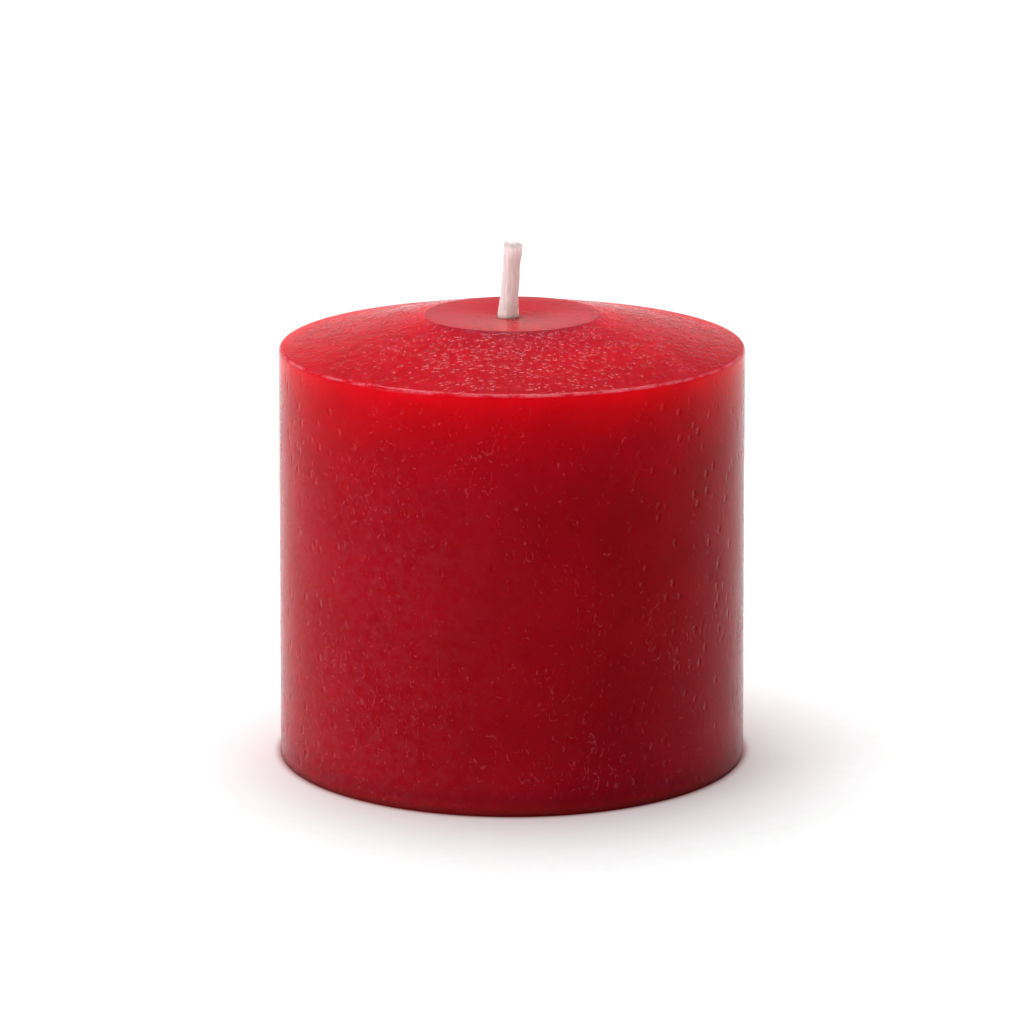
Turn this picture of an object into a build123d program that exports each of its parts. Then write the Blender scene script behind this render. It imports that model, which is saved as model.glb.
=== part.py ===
from build123d import *
import os
from math import cos, radians, sin

# Pillar candle. Millimetres, +Z up, origin at the middle of the base.

# Cast pillar
BASE_RADIUS = 38.1  # a nominal 3 inch pillar
RIM_RADIUS = 37.65  # the side tapers so that it slides out of its mould
RIM_HEIGHT = 67.9
CROWN_RISE = 5.1  # from the rim up to the edge of the wick seal
RIM_ROUND = 0.7
BASE_ROUND = 0.4
BORE_RADIUS = 1.5

# Seal poured round the wick, in a shallow dish in the crown
SEAL_RADIUS = 14.0
SEAL_DEPTH = 0.9
SEAL_LIP = 1.8  # how far the dish's side slopes in
SEAL_SAG = 0.3  # the seal's surface sinks towards the wick as it cools
MENISCUS_RADIUS = 2.3
MENISCUS_RISE = 0.5

# Second pour, in the well that the pillar's shrinking wax leaves in its base
WELL_RADIUS = 24.0
WELL_DEPTH = 9.0

# Stamped tab that grips the wick's foot
TAB_RADIUS = 10.0
TAB_SHEET = 0.3
NECK_HEIGHT = 5.0
NECK_GRIP = 1.42  # inner radius of the neck
BEAD_RADIUS = 6.4  # middle of the stiffening ring pressed into the tab
BEAD_WIDTH = 2.4
BEAD_RISE = 0.45
BEAD_ROUND = 0.4
NECK_ROUND = 0.6

# Braided wick
WICK_X = -0.65  # the wick stands a little off the pillar's axis
WICK_RADIUS = 1.4
WICK_FOOT = 0.1
WICK_TIP = 85.0
YARNS = 8
YARN_FIT = 0.97  # keeps neighbouring yarns just clear of each other
BEND_HEIGHT = 71.5
BEND_RADIUS = 40.0
LEAN = 4.2  # degrees, towards +X, above the bend

SHOULDER = RIM_HEIGHT + CROWN_RISE
DISH_FLOOR = SHOULDER - SEAL_DEPTH
SEAL_MIDDLE = SHOULDER - SEAL_SAG
WICK_AXIS = Axis((WICK_X, 0, 0), (0, 0, 1))
WICK_SECTION = Plane(origin=(WICK_X, 0, 0), x_dir=(1, 0, 0), z_dir=(0, -1, 0))
FOOT_SECTION = Plane(origin=(WICK_X, 0, WICK_FOOT))

# The yarns stand in a ring that just fills the wick round its core.
YARN_RING = WICK_RADIUS / (1 + sin(radians(180 / YARNS)))
YARN_RADIUS = (WICK_RADIUS - YARN_RING) * YARN_FIT
CORE_RADIUS = (2 * YARN_RING - WICK_RADIUS) * YARN_FIT

os.makedirs("parts", exist_ok=True)


# The tab's sheet from the top of its neck to its edge, as a line up its middle.
HALF_SHEET = TAB_SHEET / 2
with BuildLine() as tab_line:
    FilletPolyline(
        (NECK_GRIP + HALF_SHEET, NECK_HEIGHT),
        (NECK_GRIP + HALF_SHEET, HALF_SHEET),
        (BEAD_RADIUS - BEAD_WIDTH / 2, HALF_SHEET),
        (BEAD_RADIUS - BEAD_WIDTH / 4, HALF_SHEET + BEAD_RISE),
        (BEAD_RADIUS + BEAD_WIDTH / 4, HALF_SHEET + BEAD_RISE),
        (BEAD_RADIUS + BEAD_WIDTH / 2, HALF_SHEET),
        (TAB_RADIUS, HALF_SHEET),
        radius=(NECK_ROUND, BEAD_ROUND, BEAD_ROUND, BEAD_ROUND, BEAD_ROUND),
    )

# Half of the shrink well's section: a shallow bowl, upside down, under the wick.
with BuildSketch(Plane.XZ) as well_section:
    with BuildLine():
        TangentArc((0, WELL_DEPTH), (WELL_RADIUS, 0), tangent=(1, 0))
        Polyline((WELL_RADIUS, 0), (0, 0), (0, WELL_DEPTH))
    make_face()

# The wick's middle line: straight up its bore, a slight bend at the seal, then a lean.
TURNED = radians(LEAN)
BEND_END = (WICK_X + BEND_RADIUS * (1 - cos(TURNED)), 0, BEND_HEIGHT + BEND_RADIUS * sin(TURNED))
# The highest corner of the square-cut tip, not its middle, comes to WICK_TIP.
FREE_LENGTH = (WICK_TIP - WICK_RADIUS * sin(TURNED) - BEND_END[2]) / cos(TURNED)
with BuildLine() as wick_line:
    Line((WICK_X, 0, WICK_FOOT), (WICK_X, 0, BEND_HEIGHT))
    TangentArc((WICK_X, 0, BEND_HEIGHT), BEND_END, tangent=(0, 0, 1))
    PolarLine(BEND_END, FREE_LENGTH, direction=(sin(TURNED), 0, cos(TURNED)))

# The pillar: one cast of wax, with a dish on top, a bore for the wick and a well in its base.
with BuildPart() as wax_body:
    with BuildSketch(Plane.XZ):
        with BuildLine():
            Polyline(
                (0, 0),
                (BASE_RADIUS, 0),
                (RIM_RADIUS, RIM_HEIGHT),
                (SEAL_RADIUS, SHOULDER),
                (SEAL_RADIUS - SEAL_LIP, DISH_FLOOR),
                (0, DISH_FLOOR),
                close=True,
            )
        make_face()
    revolve(axis=Axis.Z)
    fillet(wax_body.edges().filter_by_position(Axis.Z, RIM_HEIGHT, RIM_HEIGHT), RIM_ROUND)
    fillet(wax_body.edges().filter_by_position(Axis.Z, 0, 0), BASE_ROUND)
    revolve(well_section.sketch, axis=Axis.Z, mode=Mode.SUBTRACT)
    with Locations((WICK_X, 0, SHOULDER)):
        Hole(BORE_RADIUS)
wax_body.part.label = "wax_body"
export_step(wax_body.part, "parts/wax_body.step")

# The seal: a thin disc with a sunken top, which climbs the wick in a small meniscus.
with BuildPart() as wick_seal:
    with BuildSketch(Plane.XZ):
        with BuildLine():
            TangentArc((0, SEAL_MIDDLE), (SEAL_RADIUS, SHOULDER), tangent=(1, 0))
            Polyline(
                (SEAL_RADIUS, SHOULDER),
                (SEAL_RADIUS - SEAL_LIP, DISH_FLOOR),
                (0, DISH_FLOOR),
                (0, SEAL_MIDDLE),
            )
        make_face()
    revolve(axis=Axis.Z)
    with BuildSketch(WICK_SECTION):
        with BuildLine():
            TangentArc(
                (MENISCUS_RADIUS, SEAL_MIDDLE),
                (BORE_RADIUS, SEAL_MIDDLE + MENISCUS_RISE),
                tangent=(-1, 0),
            )
            Polyline(
                (BORE_RADIUS, SEAL_MIDDLE + MENISCUS_RISE),
                (0, SEAL_MIDDLE + MENISCUS_RISE),
                (0, DISH_FLOOR),
                (MENISCUS_RADIUS, DISH_FLOOR),
                (MENISCUS_RADIUS, SEAL_MIDDLE),
            )
        make_face()
    revolve(axis=WICK_AXIS)
    with Locations((WICK_X, 0, SEAL_MIDDLE + MENISCUS_RISE)):
        Hole(BORE_RADIUS)
wick_seal.part.label = "wick_seal"
export_step(wick_seal.part, "parts/wick_seal.step")

# The tab: sheet metal with a pressed ring and a drawn neck that grips the wick.
with BuildPart() as wick_sustainer:
    with BuildSketch(WICK_SECTION):
        trace(tab_line.line, line_width=TAB_SHEET)
    revolve(axis=WICK_AXIS)
wick_sustainer.part.label = "wick_sustainer"
export_step(wick_sustainer.part, "parts/wick_sustainer.step")

# The second pour: it fills the well up to the wick and closes over the tab, but not under it.
with BuildPart() as base_pour:
    revolve(well_section.sketch, axis=Axis.Z)
    with Locations((WICK_X, 0, WELL_DEPTH)):
        Hole(BORE_RADIUS)
    with BuildSketch(WICK_SECTION):
        with BuildLine():
            add(tab_line.line)
            Polyline(tab_line.line @ 1, (TAB_RADIUS, 0), (0, 0), (0, NECK_HEIGHT), tab_line.line @ 0)
        make_face()
    revolve(axis=WICK_AXIS, mode=Mode.SUBTRACT)
    add(wick_sustainer.part, mode=Mode.SUBTRACT)
base_pour.part.label = "base_pour"
export_step(base_pour.part, "parts/base_pour.step")

# The wick: a straight core, and the yarns round it.
with BuildPart() as wick_core:
    with BuildSketch(FOOT_SECTION):
        Circle(CORE_RADIUS)
    sweep(path=wick_line.wires()[0])
wick_core.part.label = "wick_core"
export_step(wick_core.part, "parts/wick_core.step")

for number in range(1, YARNS + 1):
    with BuildPart() as wick_yarn:
        with BuildSketch(FOOT_SECTION):
            with PolarLocations(YARN_RING, 1, start_angle=(number - 1) * 360 / YARNS):
                Circle(YARN_RADIUS)
        sweep(path=wick_line.wires()[0])
    wick_yarn.part.label = f"wick_yarn_{number}"
    export_step(wick_yarn.part, f"parts/wick_yarn_{number}.step")
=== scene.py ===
import math

import bpy
import numpy as np
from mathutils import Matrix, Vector


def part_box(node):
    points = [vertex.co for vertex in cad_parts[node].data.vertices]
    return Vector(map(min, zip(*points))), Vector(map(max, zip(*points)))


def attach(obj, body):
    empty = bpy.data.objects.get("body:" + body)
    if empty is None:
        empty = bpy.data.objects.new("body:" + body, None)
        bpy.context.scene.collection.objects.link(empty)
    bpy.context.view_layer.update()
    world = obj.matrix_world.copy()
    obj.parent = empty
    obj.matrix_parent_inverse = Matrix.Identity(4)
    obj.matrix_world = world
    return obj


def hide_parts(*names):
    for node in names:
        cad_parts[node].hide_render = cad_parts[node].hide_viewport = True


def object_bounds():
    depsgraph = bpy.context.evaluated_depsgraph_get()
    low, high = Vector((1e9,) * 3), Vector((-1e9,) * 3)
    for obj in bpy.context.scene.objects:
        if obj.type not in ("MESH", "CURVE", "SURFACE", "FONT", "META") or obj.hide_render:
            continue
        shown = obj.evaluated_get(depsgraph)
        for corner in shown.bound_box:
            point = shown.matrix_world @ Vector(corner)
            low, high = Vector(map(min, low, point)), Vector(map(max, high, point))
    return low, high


# A red pillar candle on a pale studio floor. Metres, in the frame of the CAD model.

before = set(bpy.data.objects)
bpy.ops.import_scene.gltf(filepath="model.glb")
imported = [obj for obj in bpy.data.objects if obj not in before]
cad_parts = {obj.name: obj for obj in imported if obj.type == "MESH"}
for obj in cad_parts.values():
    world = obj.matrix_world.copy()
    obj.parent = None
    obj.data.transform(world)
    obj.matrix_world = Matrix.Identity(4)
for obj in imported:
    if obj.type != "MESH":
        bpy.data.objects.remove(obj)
cad_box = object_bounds()

MM = 0.001
TAU = 2 * math.pi

# The candle's sizes, read from the CAD nodes.
wax_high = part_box("wax_body")[1]
seal_low, seal_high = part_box("wick_seal")
core_low, core_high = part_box("wick_core")
pour_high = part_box("base_pour")[1]
BASE_RADIUS = wax_high.x
SHOULDER_HEIGHT = wax_high.z
SEAL_RADIUS = seal_high.x
SEAL_BOTTOM = seal_low.z
WELL_RADIUS = pour_high.x
WELL_TOP = pour_high.z
WELL_SPHERE = (WELL_RADIUS ** 2 + WELL_TOP ** 2) / (2 * WELL_TOP)
WICK_FOOT = core_low.z
WICK_TIP = cad_box[1][2]
CORE_RADIUS = (core_high.y - core_low.y) / 2
WICK_X = core_low.x + CORE_RADIUS

# Sizes of the CAD model that no box gives.
RIM_RADIUS = 37.65 * MM
RIM_HEIGHT = 67.9 * MM
RIM_ROUND = 0.7 * MM
BASE_ROUND = 0.4 * MM
BORE_RADIUS = 1.5 * MM
SEAL_LIP = 1.8 * MM
SEAL_SAG = 0.3 * MM
BEND_HEIGHT = 71.5 * MM
BEND_RADIUS = 40.0 * MM
LEAN = math.radians(4.2)
WICK_RADIUS = 1.4 * MM


# ---------------------------------------------------------------- mesh helpers

SHARP_ANGLE = math.radians(42)


def lattice(name, points, wrap_rows=False):
    """A mesh object of quads through rows of points, where each row is a closed ring.

    wrap_rows also joins the last row to the first."""
    rows, columns = points.shape[:2]
    row = np.arange(rows if wrap_rows else rows - 1)[:, None]
    column = np.arange(columns)[None, :]
    here = row * columns
    above = (row + 1) % rows * columns
    ahead = (column + 1) % columns
    corners = np.stack([here + column, here + ahead, above + ahead, above + column], -1)
    corners = corners.reshape(-1, 4)
    mesh = bpy.data.meshes.new(name)
    mesh.vertices.add(rows * columns)
    mesh.vertices.foreach_set("co", points.reshape(-1).astype(np.float32))
    mesh.loops.add(corners.size)
    mesh.loops.foreach_set("vertex_index", corners.reshape(-1).astype(np.int32))
    mesh.polygons.add(len(corners))
    mesh.polygons.foreach_set("loop_start", np.arange(0, corners.size, 4, dtype=np.int32))
    mesh.update(calc_edges=True)
    mesh.shade_smooth()
    mesh.set_sharp_from_angle(angle=SHARP_ANGLE)
    piece = bpy.data.objects.new(name, mesh)
    bpy.context.scene.collection.objects.link(piece)
    return piece


def lay_out(piece, shares):
    """Unrolls a closed lattice for baking. shares holds how much room each row of faces gets."""
    rows = len(shares)
    columns = len(piece.data.polygons) // rows
    up = np.concatenate([[0], np.cumsum(shares) / np.sum(shares)])
    along = np.arange(columns + 1) / columns
    corners = np.empty((rows, columns, 4, 2), np.float32)
    corners[:, :, 0, 0] = corners[:, :, 3, 0] = along[:-1]
    corners[:, :, 1, 0] = corners[:, :, 2, 0] = along[1:]
    corners[:, :, 0, 1] = corners[:, :, 1, 1] = up[:-1, None]
    corners[:, :, 2, 1] = corners[:, :, 3, 1] = up[1:, None]
    piece.data.uv_layers.new(name="OFBake").uv.foreach_set("vector", corners.reshape(-1))


def smoothstep(low, high, value):
    """0 at low, 1 at high and smooth between them. low may be the greater."""
    t = np.clip((value - low) / (high - low), 0, 1)
    return t * t * (3 - 2 * t)


def bell(value, middle, width):
    """1 at the middle, falling to nothing a few widths away."""
    return np.exp(-((value - middle) / width) ** 2)


def point_ring(point, corners):
    """A lattice row whose corners all lie on one point, which closes the end of a tube."""
    return np.repeat(point[None, None], corners, 1)


# ---------------------------------------------------------------- height fields

FIELD_CELL = 0.1 * MM
STROKE_CURL = 1.6  # radians that the most curved stroke turns through
STROKE_REACH = 3  # a stroke is worked out this many widths around its line
SOFTNESS = 0.45  # how much shallower the softest strokes are
RIDGE_SHARE = 0.5  # the most wax that is heaped beside a stroke, by its depth


def band_noise(rng, shape, cell, fine, coarse):
    """A height field with bumps between two wavelengths, of unit spread, that tiles both ways."""
    spectrum = np.fft.rfft2(rng.standard_normal(shape))
    across = np.fft.rfftfreq(shape[1], cell)[None, :]
    down = np.fft.fftfreq(shape[0], cell)[:, None]
    pitch = np.hypot(across, down)
    keep = np.exp(-((pitch * fine) ** 2)) - np.exp(-((pitch * coarse) ** 2))
    field = np.fft.irfft2(spectrum * keep, s=shape)
    return field / field.std()


def press_stroke(field, share, long, wide, deep, turn, curl, soft):
    """Presses one curved stroke, which starts at a share of the field's rows and columns."""
    rows, columns = field.shape
    along = np.linspace(-0.5, 0.5, max(3, int(long / FIELD_CELL) + 1))
    bearing = turn + curl * along
    step = long / (len(along) - 1)
    down = np.cumsum(np.cos(bearing)) * step
    side = np.cumsum(np.sin(bearing)) * step
    taper = np.sqrt(np.clip(1.08 - 4 * along ** 2, 0.05, 1))  # a stroke is shallow at its ends
    reach = STROKE_REACH * wide
    start = share[0] * rows * FIELD_CELL
    first_row = max(0, int((start - reach) / FIELD_CELL))
    last_row = min(rows, int((start + down[-1] + reach) / FIELD_CELL) + 2)
    row = np.arange(first_row, last_row)
    half = int((abs(side).max() + reach) / FIELD_CELL) + 2
    middle = int(share[1] * columns)
    column = np.arange(middle - half, middle + half)
    y = (row * FIELD_CELL - start)[:, None, None] - down
    x = ((column - share[1] * columns) * FIELD_CELL)[None, :, None] - side
    near = (np.exp(-(x ** 2 + y ** 2) / (2 * wide ** 2)) * taper).max(-1)
    ridge = RIDGE_SHARE * soft * near ** 0.35 * (1 - near)
    field[np.ix_(row, column % columns)] -= deep * (near * (1 - SOFTNESS * soft) - ridge)


def press_strokes(rng, field, count, length, width, depth, lean, density):
    """Presses short curved strokes into a height field that wraps sideways.

    length, width and depth are (least, most). lean is how far a stroke may turn from the
    field's down direction, in radians. density(row share, column share) is the chance that a
    stroke is kept."""
    for _ in range(count):
        share = rng.random(2)
        keep, long, wide, deep, turn, curl, soft = rng.random(7)
        if keep > density(share[0], share[1]):
            continue
        press_stroke(
            field,
            share,
            long=length[0] + (length[1] - length[0]) * long ** 2,
            wide=width[0] + (width[1] - width[0]) * wide,
            deep=depth[0] + (depth[1] - depth[0]) * deep,
            turn=lean * (2 * turn - 1),
            curl=STROKE_CURL * (2 * curl - 1),
            soft=soft,
        )


def sample(field, row, column):
    """Reads a height field between its cells, wrapping sideways."""
    rows, columns = field.shape
    r0 = np.floor(row).astype(int)
    c0 = np.floor(column).astype(int)
    fr, fc = row - r0, column - c0
    ra, rb = np.clip(r0, 0, rows - 1), np.clip(r0 + 1, 0, rows - 1)
    ca, cb = c0 % columns, (c0 + 1) % columns
    top = field[ra, ca] * (1 - fc) + field[ra, cb] * fc
    low = field[rb, ca] * (1 - fc) + field[rb, cb] * fc
    return top * (1 - fr) + low * fr


# ---------------------------------------------------------------- wax pillar

PILLAR_COLUMNS = 1000
BASE_STEP = 1.5 * MM
SIDE_STEP = 0.24 * MM
CROWN_STEP = 0.20 * MM
LIP_STEP = 0.3 * MM
DISH_STEP = 1.0 * MM
BORE_STEP = 4.0 * MM
BASE_TURN_POINTS = 6
RIM_TURN_POINTS = 9
WELL_POINTS = 14
HIDDEN_ROOM = 0.08  # a hidden row of faces gets this share of its size in the bake
EDGE_WANDER = 0.12 * MM  # how far the seal's edge strays from its circle, slowly
EDGE_WAVER = 0.07 * MM  # and in shorter waves
SIDE_SWELL = 0.012 * MM
SIDE_GRAIN = 0.0035 * MM
CROWN_SWELL = 0.014 * MM
CROWN_GRAIN = 0.008 * MM
DISH_BLEND = 3.0 * MM  # the dish's edge strays with the seal's, and the wax near it follows


def seal_edge(angle):
    """How far the seal's edge wanders out of its circle, round the pillar."""
    return EDGE_WANDER * np.sin(2 * angle + 0.4) + EDGE_WAVER * np.sin(5 * angle + 2.0)


def run(start, end, step):
    """Evenly spaced profile points from start up to, and without, end."""
    start, end = np.array(start), np.array(end)
    count = max(1, round(float(np.linalg.norm(end - start)) / step))
    return start + (end - start) * (np.arange(count) / count)[:, None]


def rounded(before, corner, after, radius, count):
    """Profile points of a fillet at a corner, both of its ends among them."""
    before, corner, after = (np.array(p) for p in (before, corner, after))
    back = (before - corner) / np.linalg.norm(before - corner)
    on = (after - corner) / np.linalg.norm(after - corner)
    half = math.acos(float(back @ on)) / 2
    bisector = (back + on) / np.linalg.norm(back + on)
    centre = corner + bisector * radius / math.sin(half)
    first = corner + back * radius / math.tan(half) - centre
    last = corner + on * radius / math.tan(half) - centre
    sweep = math.pi - 2 * half
    share = np.linspace(0, 1, count)[:, None]
    turned = np.sin((1 - share) * sweep) * first + np.sin(share * sweep) * last
    return centre + turned / math.sin(sweep)


def pillar_profile():
    """The pillar's closed outline as (radius, height) rows, from the well's edge outwards."""
    well_edge = (WELL_RADIUS, 0)
    base = (BASE_RADIUS, 0)
    rim = (RIM_RADIUS, RIM_HEIGHT)
    shoulder = (SEAL_RADIUS, SHOULDER_HEIGHT)
    dish_edge = (SEAL_RADIUS - SEAL_LIP, SEAL_BOTTOM)
    bore_top = (BORE_RADIUS, SEAL_BOTTOM)
    bore_foot = (BORE_RADIUS, WELL_TOP)
    base_turn = rounded(well_edge, base, rim, BASE_ROUND, BASE_TURN_POINTS)
    rim_turn = rounded(base, rim, shoulder, RIM_ROUND, RIM_TURN_POINTS)
    bowl_radius = np.linspace(BORE_RADIUS, WELL_RADIUS, WELL_POINTS)
    bowl_height = np.sqrt(WELL_SPHERE ** 2 - bowl_radius ** 2) + WELL_TOP - WELL_SPHERE
    bowl = np.stack([bowl_radius, bowl_height], -1)
    return np.vstack([
        run(well_edge, base_turn[0], BASE_STEP),
        base_turn[:-1],
        run(base_turn[-1], rim_turn[0], SIDE_STEP),
        rim_turn[:-1],
        run(rim_turn[-1], shoulder, CROWN_STEP),
        run(shoulder, dish_edge, LIP_STEP),
        run(dish_edge, bore_top, DISH_STEP),
        run(bore_top, bore_foot, BORE_STEP),
        bowl[:-1],
    ])


def side_relief(rng):
    """The height field of the pillar's side, unrolled: base at row 0, once round the columns."""
    shape = (int(SHOULDER_HEIGHT / FIELD_CELL), int(TAU * BASE_RADIUS / FIELD_CELL))
    field = SIDE_SWELL * band_noise(rng, shape, FIELD_CELL, fine=9 * MM, coarse=40 * MM)
    field += SIDE_GRAIN * band_noise(rng, shape, FIELD_CELL, fine=0.9 * MM, coarse=3.5 * MM)
    patch = band_noise(rng, (64, 128), cell=1, fine=5, coarse=16)

    def density(up, around):
        """Strokes gather in patches, and near the base."""
        cloud = patch[int(up * (patch.shape[0] - 1)), int(around * (patch.shape[1] - 1))]
        return 0.42 + 0.22 * cloud + 0.3 * (1 - up) ** 2

    press_strokes(
        rng, field, count=3600, length=(0.3 * MM, 1.5 * MM), width=(0.10 * MM, 0.16 * MM),
        depth=(0.03 * MM, 0.09 * MM), lean=0.7, density=density,
    )
    press_strokes(
        rng, field, count=110, length=(1.5 * MM, 4.0 * MM), width=(0.12 * MM, 0.20 * MM),
        depth=(0.06 * MM, 0.12 * MM), lean=1.5, density=density,
    )
    return field


def crown_relief(rng):
    """The height field of the crown, seen from above, with the pillar's axis in its middle."""
    cells = int(2 * BASE_RADIUS / FIELD_CELL)
    shape = (cells, cells)
    field = CROWN_SWELL * band_noise(rng, shape, FIELD_CELL, fine=3 * MM, coarse=12 * MM)
    field += CROWN_GRAIN * band_noise(rng, shape, FIELD_CELL, fine=0.7 * MM, coarse=2.0 * MM)

    def density(down, across):
        """Pits crowd round the seal and thin out towards the rim."""
        out = math.hypot(down - 0.5, across - 0.5) * 2
        return 1.15 - 0.95 * out

    press_strokes(
        rng, field, count=2200, length=(0.25 * MM, 0.6 * MM), width=(0.14 * MM, 0.20 * MM),
        depth=(0.03 * MM, 0.07 * MM), lean=math.pi, density=density,
    )
    return field


def pillar_relief(rng, radius, height, angle):
    """How far each point of the pillar is pushed out by the relief of its side and crown."""
    side = side_relief(rng)
    crown = crown_relief(rng)
    on_side = smoothstep(0.2 * MM, 1.2 * MM, height) * (radius > WELL_RADIUS)
    on_side = on_side * smoothstep(RIM_HEIGHT, RIM_HEIGHT - 0.8 * MM, height)
    on_crown = smoothstep(RIM_RADIUS - 0.4 * MM, RIM_RADIUS - 3.0 * MM, radius)
    on_crown = on_crown * smoothstep(0, 0.9 * MM, radius - SEAL_RADIUS - seal_edge(angle))
    on_crown = on_crown * (height > RIM_HEIGHT - 0.1 * MM)
    side_row, side_column = np.broadcast_arrays(height / FIELD_CELL, angle / TAU * side.shape[1])
    middle = crown.shape[0] / 2
    crown_row = middle + radius * np.sin(angle) / FIELD_CELL
    crown_column = middle + radius * np.cos(angle) / FIELD_CELL
    side_push = on_side * sample(side, side_row, side_column)
    return side_push + on_crown * sample(crown, crown_row, crown_column)


def make_pillar():
    """The cast pillar with its dish, bore and well. Its outside carries the relief."""
    profile = pillar_profile()
    radius, height = profile[:, :1], profile[:, 1:]
    angle = np.arange(PILLAR_COLUMNS)[None, :] * TAU / PILLAR_COLUMNS
    push = pillar_relief(np.random.default_rng(7), radius, height, angle)
    tangent = np.roll(profile, -1, 0) - np.roll(profile, 1, 0)
    tangent /= np.linalg.norm(tangent, axis=1)[:, None]
    normal_out, normal_up = tangent[:, 1:], -tangent[:, :1]

    # The dish follows the seal's wandering edge, and the bore stands on the wick's axis.
    dish_edge = SEAL_RADIUS - SEAL_LIP
    near_dish = smoothstep(SEAL_RADIUS + DISH_BLEND, SEAL_RADIUS, radius) * (height > WELL_TOP)
    near_dish = near_dish * smoothstep(dish_edge - DISH_BLEND, dish_edge, radius)
    shift = WICK_X * smoothstep(SEAL_RADIUS - 2 * MM, BORE_RADIUS + 1 * MM, radius)
    reach = radius + near_dish * seal_edge(angle) + normal_out * push
    points = np.stack([
        reach * np.cos(angle) + shift,
        reach * np.sin(angle),
        height + normal_up * push,
    ], -1)
    piece = lattice("pillar_wax", points, wrap_rows=True)
    room = np.linalg.norm(np.roll(profile, -1, 0) - profile, axis=1)
    hidden = (profile[:, 0] < SEAL_RADIUS) | (profile[:, 1] < BASE_ROUND / 2)
    lay_out(piece, np.where(hidden, room * HIDDEN_ROOM, room))
    piece.data.materials.append(pillar_material())
    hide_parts("wax_body")
    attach(piece, "root")


# ---------------------------------------------------------------- seal

SEAL_COLUMNS = 360
SEAL_GAP = 0.02 * MM
SEAL_DIP = 0.25 * MM
SEAL_SWELL = 0.005 * MM
RIPPLE_HEIGHT = 0.013 * MM
RIPPLE_PITCH = 1.9 * MM
MOAT_DEPTH = 0.04 * MM
MENISCUS_REACH = 1.1 * MM
MENISCUS_RISE = 0.03 * MM
SEAL_ROLL = 0.01 * MM  # how far the top's outermost edge rolls down
SEAL_OVERLAP = 0.15 * MM  # how far the seal reaches into the wick's film
RIPPLED_RADIUS = 4.5 * MM  # the rows of points stand closer inside it


def seal_surface(rng, x, y):
    """Height of the seal's top: a shallow sink with ripples, a moat and a meniscus at the wick."""
    out = np.hypot(x, y)
    from_wick = np.hypot(x - WICK_X, y)
    height = SHOULDER_HEIGHT - (SEAL_SAG + SEAL_DIP) * (1 - smoothstep(0, SEAL_RADIUS, out))
    cells = int(2.4 * SEAL_RADIUS / FIELD_CELL)  # a field a little wider than the seal
    swell = band_noise(rng, (cells, cells), FIELD_CELL, fine=1.6 * MM, coarse=7 * MM)
    height += SEAL_SWELL * sample(swell, y / FIELD_CELL + cells / 2, x / FIELD_CELL + cells / 2)
    wave = TAU * (from_wick - 2.6 * MM) / RIPPLE_PITCH + 0.5 * np.sin(2 * np.arctan2(y, x))
    height += RIPPLE_HEIGHT * np.cos(wave) * bell(from_wick, 4.0 * MM, 2.2 * MM)
    height -= MOAT_DEPTH * bell(from_wick, WICK_RADIUS + 1.1 * MM, 0.5 * MM)
    climb = np.clip(1 - (from_wick - WICK_RADIUS) / MENISCUS_REACH, 0, 1)
    return height + MENISCUS_RISE * climb ** 2.5


def seal_top(angle):
    """The seal's top as rings of points, from its edge to the wick."""
    radius = np.concatenate([
        np.linspace(SEAL_RADIUS, SEAL_RADIUS - 1.0 * MM, 8)[:-1],
        np.linspace(SEAL_RADIUS - 1.0 * MM, RIPPLED_RADIUS, 40)[:-1],
        np.linspace(RIPPLED_RADIUS, WICK_RADIUS - SEAL_OVERLAP, 44),
    ])[:, None]
    shift = WICK_X * smoothstep(SEAL_RADIUS - 2 * MM, 3 * MM, radius)
    edge = seal_edge(angle) * smoothstep(SEAL_RADIUS - 4 * MM, SEAL_RADIUS, radius)
    x = (radius + edge) * np.cos(angle) + shift
    y = (radius + edge) * np.sin(angle)
    roll = SEAL_ROLL * smoothstep(SEAL_RADIUS - 0.9 * MM, SEAL_RADIUS, radius)
    return np.stack([x, y, seal_surface(np.random.default_rng(11), x, y) - roll], -1)


def make_seal():
    """The disc of clear red wax poured round the wick."""
    angle = np.arange(SEAL_COLUMNS) * TAU / SEAL_COLUMNS
    top = seal_top(angle[None, :])
    hole = top[-1].copy()
    hole[:, 2] = SEAL_BOTTOM + SEAL_GAP
    floor_radius = SEAL_RADIUS - SEAL_LIP + seal_edge(angle)
    floor_height = np.full(SEAL_COLUMNS, SEAL_BOTTOM + SEAL_GAP)
    floor = np.stack([floor_radius * np.cos(angle), floor_radius * np.sin(angle), floor_height], -1)
    piece = lattice("seal_wax", np.concatenate([top, hole[None], floor[None]]), wrap_rows=True)
    piece.data.materials.append(seal_material())
    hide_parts("wick_seal")
    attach(piece, "root")


# ---------------------------------------------------------------- wick

DEPTH_AXIS = np.array([0.0, 1.0, 0.0])
HIDDEN_STEP = 0.5 * MM
SHOWN_STEP = 0.07 * MM
BRAID_RADIUS = 0.95 * MM
BRAID_SWING = 0.13 * MM
BRAID_TURN = 0.30 / MM
YARNS_EACH_WAY = 4
YARN_CORNERS = 14
YARN_HALF_WIDTH = 0.50 * MM
YARN_HALF_DEPTH = 0.24 * MM
YARN_CUT = (0.9 * MM, 1.2 * MM)  # how far short of the wick's end a yarn may be cut
CORE_CUT = 0.6 * MM
PRIMER_CORNERS = 72
PRIMER_STEP = 0.10 * MM
PRIMER_RADIUS = 1.40 * MM
PRIMER_BULGE = 0.05 * MM
PRIMER_FLARE = 0.26 * MM
PRIMER_SWELL = 0.08 * MM
TIP_ROUND = 0.7 * MM
TIP_SLANT = 0.22 * MM
TIP_PROUD = 0.1 * MM

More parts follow.
